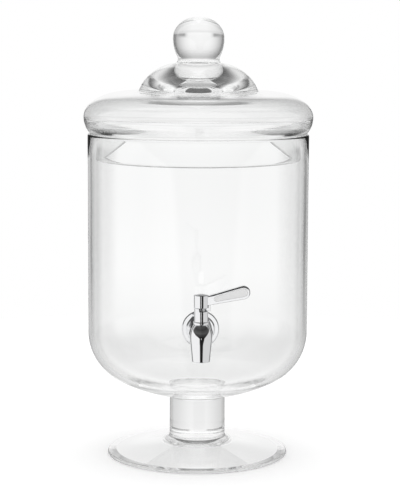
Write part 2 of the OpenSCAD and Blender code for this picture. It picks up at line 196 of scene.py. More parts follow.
def new_piece(name, mesh):
    piece = bpy.data.objects.new(name, mesh)
    bpy.context.scene.collection.objects.link(piece)
    return piece


def evaluated_mesh(piece):
    """The piece's mesh with its modifiers applied and then removed."""
    graph = bpy.context.evaluated_depsgraph_get()
    made = bpy.data.meshes.new_from_object(
        piece.evaluated_get(graph), preserve_all_data_layers=True, depsgraph=graph)
    piece.modifiers.clear()
    piece.data = made
    return made


def set_input(modifier, name, value):
    """Sets a node modifier's input by the identifier of the socket with this name."""
    for item in modifier.node_group.interface.items_tree:
        if item.item_type == "SOCKET" and item.in_out == "INPUT" and item.name == name:
            modifier[item.identifier] = value


def smooth(mesh, angle):
    """Shades a mesh smooth, apart from edges sharper than an angle in degrees."""
    mesh.shade_smooth()
    mesh.set_sharp_from_angle(angle=math.radians(angle))


def face_out(mesh):
    """Closes the seams of a mesh and turns its faces outwards."""
    bm = bmesh.new()
    bm.from_mesh(mesh)
    bmesh.ops.remove_doubles(bm, verts=bm.verts, dist=1e-7)
    bmesh.ops.recalc_face_normals(bm, faces=bm.faces)
    bm.to_mesh(mesh)
    bm.free()


def bridge(bm, row, following):
    """Joins two closed rows of points by faces."""
    for i in range(len(row)):
        n = (i + 1) % len(row)
        bm.faces.new((row[i], row[n], following[n], following[i]))


def spout_piece(name, bm):
    """A piece from a mesh drawn in millimetres around the spout's axis."""
    mesh = bpy.data.meshes.new(name)
    bm.to_mesh(mesh)
    bm.free()
    mesh.transform(place("spout"))
    face_out(mesh)
    return new_piece(name, mesh)


def weigh_normals(piece):
    """Lets wide flat faces stay flat to the eye where they meet small roundings."""
    modifier = piece.modifiers.new("weighted", "WEIGHTED_NORMAL")
    modifier.keep_sharp = True
    modifier.weight = 80
    evaluated_mesh(piece)


def finish_piece(piece, material, body, slot, *nodes):
    """Gives a piece its material and its body, keeps flat faces flat unless the slot is glass, and takes the CAD
    nodes it stands for out of sight.
    """
    if slot != "glass":
        weigh_normals(piece)
    piece.data.materials.clear()
    piece.data.materials.append(material)
    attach(piece, body)
    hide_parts(*nodes)


# Outlines, as points of (radius, height)

def arc(centre, radius, start, end, steps, height=None):
    """Points of an arc between two angles in degrees, or of an oval's arc where a height is given."""
    tall = radius if height is None else height
    turn = [math.radians(start + (end - start) * i / steps) for i in range(steps + 1)]
    return [(centre[0] + radius * math.cos(a), centre[1] + tall * math.sin(a)) for a in turn]


def line(start, end, steps):
    """Points of a straight run."""
    return [tuple(s + (e - s) * i / steps for s, e in zip(start, end)) for i in range(steps + 1)]


def bell(radius, height, base):
    """Points of a bell's side, from its top outwards."""
    share = [i / 40 for i in range(41)]
    return [(radius * t, base + height * (1 + math.cos(math.pi * t)) / 2) for t in share]


def s_curve(start, end, steps):
    """Points of a smooth run that leaves and ends upright."""
    share = [i / steps for i in range(steps + 1)]
    return [(start[0] + (end[0] - start[0]) * t * t * (3 - 2 * t), start[1] + (end[1] - start[1]) * t)
            for t in share]


def rounded(corner, before, after, radius, steps=6):
    """A corner between two straight sides, rounded to a radius."""
    c, b, a = Vector(corner), Vector(before), Vector(after)
    u, w = (b - c).normalized(), (a - c).normalized()
    half = u.angle(w) / 2
    middle = c + (u + w).normalized() * (radius / math.sin(half))
    p, q = c + u * (radius / math.tan(half)), c + w * (radius / math.tan(half))
    start = math.atan2(p.y - middle.y, p.x - middle.x)
    sweep = math.atan2(q.y - middle.y, q.x - middle.x) - start
    sweep = (sweep + math.pi) % (2 * math.pi) - math.pi
    return [(middle.x + radius * math.cos(start + sweep * i / steps),
             middle.y + radius * math.sin(start + sweep * i / steps)) for i in range(steps + 1)]


def joined(*runs):
    """One outline from several runs of points, without repeats."""
    out = []
    for run in runs:
        for p in run:
            if not out or math.dist(p, out[-1]) > 1e-4:
                out.append(tuple(p))
    return out


def pear(root, root_r, tip, tip_r):
    """Outline around two discs of different size."""
    steps = 32
    dx, dz = tip[0] - root[0], tip[1] - root[1]
    lean = math.degrees(math.atan2(dz, dx))
    a = math.degrees(math.acos((root_r - tip_r) / math.hypot(dx, dz)))
    return joined(
        arc(root, root_r, lean + a, lean + 360 - a, steps),
        arc(tip, tip_r, lean - a, lean + a, steps),
    )


# Geometry Nodes

def node_group(name, inputs, result):
    """A tree with inputs given as (name, kind) and one result. Also returns its input sockets."""
    tree = bpy.data.node_groups.new(name, "GeometryNodeTree")
    for label, kind in inputs:
        tree.interface.new_socket(label, in_out="INPUT", socket_type="NodeSocket" + kind)
    tree.interface.new_socket(result, in_out="OUTPUT", socket_type="NodeSocketGeometry")
    return tree, add_node(tree, "NodeGroupInput").outputs


def end_group(tree, geometry, finish):
    """Ends a tree in real geometry with its material."""
    real = add_node(tree, "GeometryNodeRealizeInstances", {0: geometry})
    coated = add_node(tree, "GeometryNodeSetMaterial", {"Geometry": real.outputs[0], "Material": finish})
    add_node(tree, "NodeGroupOutput", {0: coated.outputs[0]})


def turning_tree():
    """Sweeps an outline round the upright axis."""
    tree, start = node_group("turning", (
        ("Outline", "Geometry"), ("Steps", "Int"), ("Weld", "Float"), ("Finish", "Material")), "Turned")

    def whole(operation, first, second):
        return add_node(tree, "FunctionNodeIntegerMath", {0: first, 1: second}, operation=operation).outputs[0]

    count = add_node(tree, "GeometryNodeAttributeDomainSize", {"Geometry": start["Outline"]}, component="MESH")
    columns = whole("ADD", start["Steps"], 1)
    grid = add_node(tree, "GeometryNodeMeshGrid", {
        "Vertices X": count.outputs["Point Count"], "Vertices Y": columns})
    index = add_node(tree, "GeometryNodeInputIndex").outputs[0]
    row = whole("DIVIDE_FLOOR", index, columns)
    column = whole("MODULO", index, columns)
    here = add_node(tree, "GeometryNodeInputPosition").outputs[0]
    sample = add_node(tree, "GeometryNodeSampleIndex", {
        "Geometry": start["Outline"], "Value": here, "Index": row}, data_type="FLOAT_VECTOR", domain="POINT")
    turn = maths(tree, "MULTIPLY", maths(tree, "DIVIDE", column, start["Steps"]), 2 * math.pi)
    spun = add_node(tree, "ShaderNodeVectorRotate", {
        "Vector": sample.outputs[0], "Angle": turn}, rotation_type="Z_AXIS")
    swept = add_node(tree, "GeometryNodeSetPosition", {
        "Geometry": grid.outputs["Mesh"], "Position": spun.outputs[0]})
    welded = add_node(tree, "GeometryNodeMergeByDistance", {
        "Geometry": swept.outputs[0], "Distance": start["Weld"]})
    end_group(tree, welded.outputs[0], start["Finish"])
    return tree


def turned(name, outline, material, steps, closed=False, where="upright", angle=40):
    """A piece turned from an outline in millimetres. A closed one makes a ring, an open one ends on the axis."""
    points = list(outline) + ([outline[0]] if closed else [])
    mesh = bpy.data.meshes.new(name)
    mesh.from_pydata([(r, 0, z) for r, z in points], [(i, i + 1) for i in range(len(points) - 1)], [])
    piece = new_piece(name, mesh)
    modifier = piece.modifiers.new("turning", "NODES")
    modifier.node_group = TURNING
    set_input(modifier, "Steps", steps)
    set_input(modifier, "Weld", 0.002)
    set_input(modifier, "Finish", material)
    mesh = evaluated_mesh(piece)
    face_out(mesh)
    mesh.transform(place(where))
    smooth(mesh, angle)
    return piece


TURNING = turning_tree()


# Glass

def foot_outline():
    """The foot from the middle of its hollow, round its rim and up to the steps and the flare under the stem."""
    slope = math.atan((FOOT_H - 2 * FOOT_EDGE) / (FOOT_R - FOOT_EDGE - SLOPE_R))
    outer = arc((FOOT_R - FOOT_EDGE, FOOT_EDGE), FOOT_EDGE, -90, 90 - math.degrees(slope), 16)
    foot_in, top = (HOLLOW_R, 0), (SLOPE_R, (HOLLOW_R - SLOPE_R) * math.tan(slope))
    return joined(
        line((0, top[1]), (26, top[1]), 6),
        rounded(top, (0, top[1]), foot_in, 30, 8),
        rounded(foot_in, top, (FOOT_R - FOOT_EDGE, 0), 3),
        line((81, 0), outer[0], 2),
        outer,
        line(outer[-1], (36, 13.48), 10),
        rounded((33.9, 13.9), (40, 12.68), (32.6, 14), 0.8),
        rounded((32.2, 14.05), (33.5, 13.98), (32.2, 14.9), 0.3, 4),
        rounded((32.4, 14.8), (32.3, 14.4), (31.9, 14.85), 0.2, 4),
        arc((STEM_R + FLARE_R, FLARE_Z), FLARE_R, 262, 180, 14),
    )


def vessel_outline():
    """Foot, stem and bowl as one piece of glass."""
    floor_z = STEM_TOP_Z + math.sqrt(FLOOR_R ** 2 - STEM_R ** 2)
    reach = FLOOR_R - CORNER_R
    floor_end = math.degrees(math.asin(CORNER_AT / reach)) - 90
    corner = (CORNER_AT, floor_z - math.sqrt(reach ** 2 - CORNER_AT ** 2))
    inner_low = STEM_TOP_Z + FLOOR_T
    drop = corner[1] - inner_low
    inner_r = (CORNER_AT ** 2 + drop ** 2 - CORNER_IN_R ** 2) / (2 * (drop - CORNER_IN_R))
    inner_end = math.degrees(math.asin(CORNER_AT / (inner_r - CORNER_IN_R))) - 90
    fillet = rounded((STEM_R, STEM_TOP_Z), (STEM_R, 40), (STEM_R + 20, STEM_TOP_Z + 3.5), STEM_FILLET, 8)
    floor_start = math.degrees(math.asin(fillet[-1][0] / FLOOR_R)) - 90
    low, high = TAP_Z - PATCH_H, TAP_Z + PATCH_H
    rim = (BOWL_R - RIM_ROUND, RIM_Z - RIM_ROUND)
    return joined(
        foot_outline(),
        line((STEM_R, FLARE_Z), fillet[0], 12),
        fillet,
        arc((0, floor_z), FLOOR_R, floor_start + 0.3, floor_end, 24),
        arc(corner, CORNER_R, floor_end, 0, 32),
        line((BOWL_R, low), (BOWL_R, high), 16),
        # The outer faces under the rim are long, and their smoothed normals bend the light there
        line((BOWL_R, high), (BOWL_R, rim[1]), 6),
        arc(rim, RIM_ROUND, 0, 90, 4),
        arc(rim, RIM_ROUND, 90, 180, 8),
        line((BOWL_IN_R, rim[1] - RIM_STEP), (BOWL_IN_R, high), 12),
        line((BOWL_IN_R, high), (BOWL_IN_R, low), 16),
        arc(corner, CORNER_IN_R, 0, inner_end, 32),
        arc((0, inner_low + inner_r), inner_r, inner_end, -90, 32),
    )


def cut_tap_hole(mesh, steps):
    """Replaces a patch of both bowl walls by rings that end in the tap's hole, and joins the two walls there."""
    bm = bmesh.new()
    bm.from_mesh(mesh)
    half_turn = PATCH_COLUMNS * 2 * math.pi / steps + 1e-4
    z0, half, hole = TAP_Z * MM, (PATCH_H + 0.01) * MM, HOLE_R * MM

    def in_patch(v):
        return v.co.y < 0 and abs(v.co.z - z0) < half and abs(math.atan2(v.co.x, -v.co.y)) < half_turn

    def turn(v):
        return math.atan2(v.co.z - z0, v.co.x)

    doomed = [f for f in bm.faces if all(in_patch(v) for v in f.verts)]
    bmesh.ops.delete(bm, geom=doomed, context="FACES")
    edge_verts = [v for v in bm.verts if in_patch(v) and v.is_boundary]
    holes = []
    for wall in (BOWL_R * MM, BOWL_IN_R * MM):
        loop = [v for v in edge_verts if abs(math.hypot(v.co.x, v.co.y) - wall) < 0.5 * MM]
        loop.sort(key=turn)
        row = loop
        for share in PATCH_RINGS:
            # The inner wall's hole takes its angles from the outer wall's hole
            guides = holes[0] if share == 1.0 and holes else loop
            ring = []
            for v, a in zip(loop, map(turn, guides)):
                x = v.co.x * (1 - share) + hole * math.cos(a) * share
                z = v.co.z * (1 - share) + (z0 + hole * math.sin(a)) * share
                ring.append((x, -math.sqrt(wall ** 2 - x ** 2), z))
            made = [bm.verts.new(p) for p in ring]
            bridge(bm, row, made)
            row = made
        holes.append(row)
    bridge(bm, *holes)
    bmesh.ops.recalc_face_normals(bm, faces=bm.faces)
    bm.to_mesh(mesh)
    bm.free()
    smooth(mesh, 50)


def vessel():
    """The jar on its foot, with the hole for the tap."""
    steps = 256
    piece = turned("vessel_glass", vessel_outline(), clear_glass(), steps, angle=60)
    cut_tap_hole(piece.data, steps)
    finish_piece(piece, clear_glass(), "dispenser", "glass", "glass_bowl", "glass_stem", "glass_foot")


def lid_outline():
    """Lid and knob as one piece of glass, from the middle of the hollow down to the skirt and up to the knob."""
    widest_z, crest_z, seat_z, top_z = (RIM_Z + h for h in (LID_WIDEST, LID_CREST, LID_SEAT, LID_TOP))
    ceiling_z, run_z = crest_z - LID_WALL, widest_z - SKIRT_RUN
    lid_r, seat_r, skirt_r = BOWL_R + LID_OVERHANG, BOWL_R - RIM_ROUND, BOWL_IN_R - SKIRT_GAP
    skirt_in_r, edge = skirt_r - LID_WALL, LID_WALL / 2
    edge_z = RIM_Z + SKIRT_LOW + edge
    under_r = ((lid_r - seat_r) ** 2 + (widest_z - seat_z) ** 2) / (2 * (lid_r - seat_r))
    under_start = math.degrees(math.asin((seat_z - widest_z) / under_r))
    dome, reach = (DOME_AT, top_z - DOME_R), DOME_R + VALLEY_R
    valley_z = crest_z + VALLEY_R
    valley_a = math.degrees(math.asin((valley_z - dome[1]) / reach))
    valley = (dome[0] + reach * math.cos(math.radians(valley_a)), valley_z)
    crest = (valley[0] + CREST_OUT, widest_z)
    neck_a = math.degrees(math.acos((NECK_R - dome[0]) / reach))
    neck_z = dome[1] + reach * math.sin(math.radians(neck_a))
    knob_z = neck_z + KNOB_LIFT
    return joined(
        bell(valley[0] + HOLLOW_OUT, top_z - DOME_TOP_T - ceiling_z, ceiling_z),
        arc(crest, lid_r - crest[0] - LID_WALL, 90, 0, 24, ceiling_z - widest_z),
        s_curve((lid_r - LID_WALL, widest_z), (skirt_in_r, run_z), 16),
        line((skirt_in_r, run_z), (skirt_in_r, edge_z), 2),
        arc((skirt_r - edge, edge_z), edge, 180, 360, 12),
        line((skirt_r, edge_z), (skirt_r, seat_z - 1.2), 6),
        rounded((skirt_r, seat_z), (skirt_r, seat_z - 5), (seat_r, seat_z), 1, 6),
        arc((lid_r - under_r, widest_z), under_r, under_start, 0, 14),
        arc(crest, lid_r - crest[0], 0, 90, 28, crest_z - widest_z),
        arc(valley, VALLEY_R, 270, 180 + valley_a, 10),
        arc(dome, DOME_R, valley_a, neck_a, 24),
        arc((NECK_R, neck_z), VALLEY_R, 180 + neck_a, 180, 8),
        arc((KNOB_R - KNOB_SIDE_R, knob_z), KNOB_SIDE_R, KNOB_SIDE_LOW, 0, 14),
        arc((0, knob_z), KNOB_R, 0, 90, 28, KNOB_H),
    )


def lid():
    """The lift-off lid with its knob."""
    piece = turned("lid_glass", lid_outline(), clear_glass(), 256, angle=60)
    finish_piece(piece, clear_glass(), "lid", "glass", "lid_shell", "lid_knob")


# Tap

def looped(name, loops, angle):
    """A closed piece from loops of points in millimetres, each joined to the next and the last to the first."""
    count = len(loops[0])
    faces = []
    for j in range(len(loops)):
        here, there = j * count, (j + 1) % len(loops) * count
        for i in range(count):
            n = (i + 1) % count
            faces.append((here + i, here + n, there + n, there + i))
    mesh = bpy.data.meshes.new(name)
    mesh.from_pydata([p for loop in loops for p in loop], [], faces)
    mesh.transform(place())
    face_out(mesh)
    smooth(mesh, angle)
    return new_piece(name, mesh)


def merged(name, pieces):
    """One piece from several closed ones."""
    bm = bmesh.new()
    for piece in pieces:
        bm.from_mesh(piece.data)
        bpy.data.objects.remove(piece)
    mesh = bpy.data.meshes.new(name)
    bm.to_mesh(mesh)
    bm.free()
    return new_piece(name, mesh)


def soften(piece, width):
    """Rounds the sharp edges of a piece by a width in millimetres."""
    bm = bmesh.new()
    bm.from_mesh(piece.data)
    edges = [e for e in bm.edges if e.is_manifold and e.calc_face_angle() > math.radians(40)]
    bmesh.ops.bevel(
        bm, geom=edges, offset=width * MM, segments=2, profile=0.5, affect="EDGES", clamp_overlap=True)
    bm.to_mesh(piece.data)
    bm.free()
    smooth(piece.data, 35)
    return piece


def body_side():
    """The side of the nozzle and body from the tip up: a cone that swells and then closes in towards the sleeve."""
    cone = line((NOZZLE_TIP_R, -NOZZLE_LEN), CONE_TOP, 8)
    lean = (CONE_TOP[0] - NOZZLE_TIP_R) / (CONE_TOP[1] + NOZZLE_LEN)
    swell = [(CONE_TOP[0] + lean * (t - t * t / (2 * SWELL_H)), CONE_TOP[1] + t)
             for t in (SWELL_H * i / 10 for i in range(11))]
    waist_r, waist_z = swell[-1]
    height = (BODY_TOP - waist_z) / math.sqrt(1 - (CHAMBER_R / waist_r) ** 2)
    end = math.degrees(math.acos((CHAMBER_R + 0.2) / waist_r))
    return joined(cone, swell, arc((0, waist_z), waist_r, 0, end, 28, height))


def tap_body():
    """The round body, the nozzle under it and the chamber in it."""
    tip, inner_tip = (NOZZLE_TIP_R, -NOZZLE_LEN), (NOZZLE_BORE_R, -NOZZLE_LEN)
    side = body_side()
    top = (CHAMBER_R, side[-1][1] - 0.3)
    outline = joined(
        rounded(tip, inner_tip, side[1], 0.6),
        side[1:],
        [top, (CHAMBER_R, CHAMBER_LOW), (NOZZLE_BORE_R, CHAMBER_LOW)],
        rounded(inner_tip, (NOZZLE_BORE_R, CHAMBER_LOW), tip, 0.5),
    )
    piece = turned("tap_body_plated", outline, chrome(), 128, closed=True, where="spout")
    finish_piece(piece, chrome(), "dispenser", "chrome", "tap_body")


def blend_reach(turn, swell):
    """How far from the spout's axis the blend of barrel into body stands out by swell, at a turn round the bore."""
    x, z = (BARREL_R + swell) * math.cos(turn), (BARREL_R + swell) * math.sin(turn)
    side = body_side()

    def gap(reach):
        out = math.hypot(x, reach)
        body = min(math.dist((out, z), p) for p in side)
        for p, q in zip(side, side[1:]):
            if p[1] <= z <= q[1]:
                body = math.copysign(body, out - p[0] - (q[0] - p[0]) * (z - p[1]) / (q[1] - p[1]))
        near = max(BARREL_BLEND - abs(body - swell), 0) / BARREL_BLEND
        return min(body, swell) - near * near * BARREL_BLEND / 4

    low, high = 0.0, 16.0
    for _ in range(40):
        middle = (low + high) / 2
        low, high = (middle, high) if gap(middle) < 0 else (low, middle)
    return low


def tap_shank():
    """The barrel, which swells into the body, and the bored shank with its thread."""
    turns = [2 * math.pi * i / 128 for i in range(128)]

    def ring(r, reach):
        return [(r * math.cos(a), reach(a) - SPOUT_Y, r * math.sin(a)) for a in turns]

    end, seat, bore_start = SPOUT_Y - SHANK_END, SPOUT_Y - FLANGE_FRONT, 6.6
    side = ((SHANK_BORE_R, bore_start), (SHANK_BORE_R, end - 0.4), (SHANK_BORE_R + 0.4, end),
            (SHANK_ROOT_R - 0.5, end), (SHANK_ROOT_R, end - 0.5), (SHANK_ROOT_R, seat),
            (BARREL_R - 0.2, seat), (BARREL_R, seat - 0.2))
    loops = [ring(r, lambda a: reach) for r, reach in side]
    for swell in (0.002, 0.03, 0.09, 0.2, 0.36, 0.56, 0.8, 1.05, 1.3, 1.49):
        loops.append(ring(BARREL_R + swell, lambda a: blend_reach(a, swell)))
    # The last loop closes the barrel inside the body
    loops.append([(0.95 * x, y - 1.2, 0.95 * z) for x, y, z in loops[-1]])
    loops = [[(x, y, z + TAP_Z) for x, y, z in loop] for loop in loops]
    barrel = looped("barrel", loops, 40)
    piece = merged("tap_shank_plated", [barrel, thread()])
    smooth(piece.data, 40)
    finish_piece(piece, chrome(), "dispenser", "chrome", "tap_shank")


def thread_tree():
    """A ridge swept along a helix."""
    tree, start = node_group("thread", (
        ("Root", "Float"), ("Height", "Float"), ("Pitch", "Float"), ("Length", "Float"), ("Finish", "Material")),
        "Thread")
    helix = add_node(tree, "GeometryNodeCurveSpiral", {
        "Resolution": 64, "Rotations": maths(tree, "DIVIDE", start["Length"], start["Pitch"]),
        "Start Radius": start["Root"], "End Radius": start["Root"], "Height": start["Length"]})
    level = add_node(tree, "GeometryNodeSetCurveNormal", {"Curve": helix.outputs[0]}, mode="Z_UP")
    ridge = add_node(tree, "GeometryNodeCurvePrimitiveQuadrilateral", {
        "Bottom Width": maths(tree, "MULTIPLY", start["Pitch"], 0.8),
        "Top Width": maths(tree, "MULTIPLY", start["Pitch"], 0.15),
        "Height": start["Height"], "Offset": 0.0}, mode="TRAPEZOID")
    outwards = add_node(tree, "GeometryNodeTransform", {
        "Geometry": ridge.outputs[0], "Rotation": (0, 0, math.pi / 2)})
    swept = add_node(tree, "GeometryNodeCurveToMesh", {
        "Curve": level.outputs[0], "Profile Curve": outwards.outputs[0], "Fill Caps": True})
    end_group(tree, swept.outputs[0], start["Finish"])
    return tree


def thread():
    """The shank's thread, from the flange to just short of the shank's end."""
    piece = new_piece("thread", bpy.data.meshes.new("thread"))
    modifier = piece.modifiers.new("thread", "NODES")
    modifier.node_group = thread_tree()
    for name, value in (("Root", SHANK_ROOT_R + THREAD_SINK), ("Height", THREAD_H), ("Pitch", THREAD_PITCH),
                        ("Length", THREAD_LEN), ("Finish", chrome())):
        set_input(modifier, name, value)
    mesh = evaluated_mesh(piece)
    mesh.transform(place("bore") @ Matrix.Translation((0, 0, SHANK_END + THREAD_START)))
    face_out(mesh)
    return piece


def escutcheon():
    """The round flange, with its rim, its rounded face and a boss around the barrel."""
    boss_r, step_r, face, step = BARREL_R + 1.2, FLANGE_STEP_R, FRONT_SEAT + 1.7, FRONT_SEAT + 3.0
    outline = joined(
        [(SLIP_R, FRONT_SEAT)],
        rounded((FLANGE_R, FRONT_SEAT), (SLIP_R, FRONT_SEAT), (FLANGE_R, face), 0.4, 4),
        rounded((FLANGE_R, face), (FLANGE_R, FRONT_SEAT), (step_r, face), 0.9),
        rounded((step_r + 0.5, face), (FLANGE_R, face), (step_r, step), 0.4, 4),
        rounded((step_r, step), (step_r + 0.5, face), (boss_r, step), 0.5, 5),
        rounded((boss_r, step), (step_r, step), (boss_r, FLANGE_FRONT), 0.25, 4),
        rounded((boss_r, FLANGE_FRONT), (boss_r, step), (SLIP_R, FLANGE_FRONT), 0.3, 5),
        rounded((SLIP_R, FLANGE_FRONT), (boss_r, FLANGE_FRONT), (SLIP_R, FRONT_SEAT), 0.15, 3),
    )
    piece = turned("escutcheon_plated", outline, chrome(), 160, closed=True, where="bore")
    finish_piece(piece, chrome(), "dispenser", "chrome", "escutcheon")


def sector_ring(name, inner, outer, low, high, notch, floor):
    """An upright ring around the spout, with a notch in its top between two angles in degrees, down to a floor."""
    start, end = notch
    angles = {2.0 * i for i in range(180) if min(abs((2.0 * i - e) % 360) for e in notch) > 0.5}
    angles = sorted(angles | {start % 360, end % 360})
    count, wide = len(angles), (end - start) % 360
    open_at = [(a - start) % 360 < wide - 1e-6 for a in angles]
    bm = bmesh.new()
    grid = [[[bm.verts.new((r * math.cos(math.radians(a)), r * math.sin(math.radians(a)), z)) for a in angles]
             for z in (low, floor, high)] for r in (inner, outer)]
    for i in range(count):
        n = (i + 1) % count
        top = 1 if open_at[i] else 2
        for side in grid:
            for level in range(top):
                bm.faces.new((side[level][i], side[level][n], side[level + 1][n], side[level + 1][i]))
        for level in (top, 0):
            bm.faces.new((grid[0][level][i], grid[0][level][n], grid[1][level][n], grid[1][level][i]))
        if open_at[i] != open_at[i - 1]:
            bm.faces.new((grid[0][1][i], grid[1][1][i], grid[1][2][i], grid[0][2][i]))
    bmesh.ops.delete(bm, geom=[v for v in bm.verts if not v.link_faces], context="VERTS")
    return spout_piece(name, bm)


def bonnet_sleeve():
    """The sleeve on top of the body, with the notch that stops the lever, and its collar."""
    ring = sector_ring("sleeve", BONNET_IN_R, BONNET_R, BONNET_LOW, BONNET_H, NOTCH_TURN, NOTCH_LOW)
    sleeve = soften(ring, 0.2)
    low, high, inner = BODY_TOP + 0.05, BODY_TOP + 0.05 + COLLAR_H, BONNET_R - 0.3
    outline = joined(
        [(inner, high), (inner, low)],
        rounded((COLLAR_R, low), (inner, low), (COLLAR_R, high), 0.3, 4),
        rounded((COLLAR_R, high), (COLLAR_R, low), (inner, high), 0.7, 6),
    )
    collar = turned("collar", outline, chrome(), 128, closed=True, where="spout")
    piece = merged("bonnet_sleeve_plated", [sleeve, collar])
    smooth(piece.data, 40)
    finish_piece(piece, chrome(), "dispenser", "chrome", "bonnet_sleeve")


def hub():
    """The hub, with a recess for its cap, a seat for the screw's head and a bore for the spindle."""
    recess_r, web_low, head_low = CAP_R + 0.05, 30.9, 32.9
    outline = joined(
        rounded((HUB_R, HUB_LOW), (HUB_BORE_R, HUB_LOW), (HUB_R, HUB_TOP), 0.35),
        rounded((HUB_R, HUB_TOP), (HUB_R, HUB_LOW), (recess_r, HUB_TOP), 0.5),
        rounded((recess_r, HUB_TOP), (HUB_R, HUB_TOP), (recess_r, CAP_LOW), 0.15, 3),
        [(recess_r, CAP_LOW), (HEAD_HOLE_R, CAP_LOW), (HEAD_HOLE_R, head_low), (SCREW_HOLE_R, head_low),
         (SCREW_HOLE_R, web_low), (HUB_BORE_R, web_low), (HUB_BORE_R, HUB_LOW)],
    )
    return turned("hub", outline, chrome(), 128, closed=True, where="spout")


def stop_lug():
    """The lug under the hub that runs in the bonnet's notch."""
    steps = 12
    angles = [math.radians(LUG_HALF_TURN * (2 * i / steps - 1)) for i in range(steps + 1)]

    def loop(z):
        out = [(LUG_OUT_R * math.cos(a), LUG_OUT_R * math.sin(a), z) for a in angles]
        return out + [(LUG_IN_R * math.cos(a), LUG_IN_R * math.sin(a), z) for a in reversed(angles)]

    bm = bmesh.new()
    rows = [[bm.verts.new(p) for p in loop(z)] for z in (LUG_LOW, LUG_TOP)]
    bridge(bm, *rows)
    for row in rows:
        for i in range(steps):
            bm.faces.new((row[i], row[i + 1], row[-2 - i], row[-1 - i]))
    return soften(spout_piece("stop_lug", bm), 0.2)


def lever_arm():
    """The arm, with rounded edges and a shallow pocket for its plate."""
    rim = pear(LEVER_ROOT, LEVER_ROOT_R, LEVER_TIP, LEVER_TIP_R)
    pocket = pear(PLATE_ROOT, PLATE_ROOT_R + POCKET_GAP, LEVER_TIP, PLATE_TIP_R + POCKET_GAP)
    half, floor = LEVER_T / 2, PLATE_FACE - PLATE_T
    bm = bmesh.new()
    back = [bm.verts.new((x, half, z)) for x, z in rim]
    front = [bm.verts.new((x, -half, z)) for x, z in rim]
    lip = [bm.verts.new((x, -half, z)) for x, z in pocket]
    bed = [bm.verts.new((x, -floor, z)) for x, z in pocket]
    for row, following in ((back, front), (front, lip), (lip, bed)):
        bridge(bm, row, following)
    bm.faces.new(back)
    bm.faces.new(bed)
    edges = [e for e in bm.edges if all(v in back for v in e.verts) or all(v in front for v in e.verts)]
    bmesh.ops.bevel(
        bm, geom=edges, offset=LEVER_EDGE, segments=3, profile=0.5, affect="EDGES", clamp_overlap=True)
    return spout_piece("lever_arm", bm)


def lever_handle():
    """Hub, lug and arm as one piece."""
    piece = merged("lever_handle_plated", [hub(), stop_lug(), lever_arm()])
    smooth(piece.data, 35)
    finish_piece(piece, chrome(), "tap_handle", "chrome", "lever_handle")


def lever_plate():
    """The satin plate set into the arm."""
    rim = pear(PLATE_ROOT, PLATE_ROOT_R, LEVER_TIP, PLATE_TIP_R)
    bm = bmesh.new()
    face = [bm.verts.new((x, -PLATE_FACE, z)) for x, z in rim]
    bed = [bm.verts.new((x, PLATE_T - PLATE_FACE - 0.01, z)) for x, z in rim]
    bridge(bm, face, bed)
    bm.faces.new(face)
    bm.faces.new(bed)
    piece = soften(spout_piece("lever_plate_satin", bm), 0.12)
    finish_piece(piece, satin(), "tap_handle", "satin_plate", "lever_plate")


def hub_cap():
    """The crowned cap in the hub's recess."""
    crown_r = (CAP_R ** 2 + CAP_CROWN ** 2) / (2 * CAP_CROWN)
    crown_a = math.degrees(math.asin((CAP_R - 0.25) / crown_r))
    outline = joined(
        [(0, CAP_LOW), (CAP_R, CAP_LOW), (CAP_R, HUB_TOP - 0.2), (CAP_R - 0.1, HUB_TOP - 0.05)],
        arc((0, HUB_TOP + CAP_CROWN - crown_r), crown_r, 90 - crown_a, 90, 10),
    )
    piece = turned("hub_cap_plated", outline, chrome(), 96, where="spout")
    finish_piece(piece, chrome(), "tap_handle", "chrome", "hub_cap")


# Fastening inside the bowl

def lock_nut():
    """A hexagon nut with cone-shaped chamfers on the side away from the washer."""
    flat, chamfer = NUT_W / 2, 0.5
    turns = [2 * math.pi * i / 96 for i in range(96)]

    def reach(a):
        return flat / math.cos((a + math.pi / 6) % (math.pi / 3) - math.pi / 6)

    def ring(spot):
        """A loop of points, from the radius and the distance that spot gives for each turn."""
        spots = [(a, *spot(a)) for a in turns]
        return [(r * math.cos(a), -distance, r * math.sin(a) + TAP_Z) for a, r, distance in spots]

    loops = [ring(spot) for spot in (
        lambda a: (SLIP_R + 0.5, NUT_BACK),
        lambda a: (SLIP_R, NUT_BACK + 0.5),
        lambda a: (SLIP_R, NUT_FRONT),
        lambda a: (reach(a) - 0.15, NUT_FRONT),
        lambda a: (reach(a), NUT_FRONT - 0.15),
        lambda a: (reach(a), NUT_BACK + 0.12 + chamfer * (reach(a) - flat)),
        lambda a: (flat - 0.1, NUT_BACK),
    )]
    finish_piece(looped("lock_nut_steel", loops, 25), steel(), "dispenser", "steel", "lock_nut")


def flat_washer():
    """The washer between the nut and the soft ring inside the bowl."""
    corners = [(SLIP_R, NUT_FRONT), (WASHER_R, NUT_FRONT), (WASHER_R, REAR_SEAT), (SLIP_R, REAR_SEAT)]
    outline = joined(*[rounded(c, corners[i - 1], corners[(i + 1) % 4], 0.2, 3) for i, c in enumerate(corners)])
    piece = turned("flat_washer_steel", outline, steel(), 96, closed=True, where="bore")
    finish_piece(piece, steel(), "dispenser", "steel", "flat_washer")


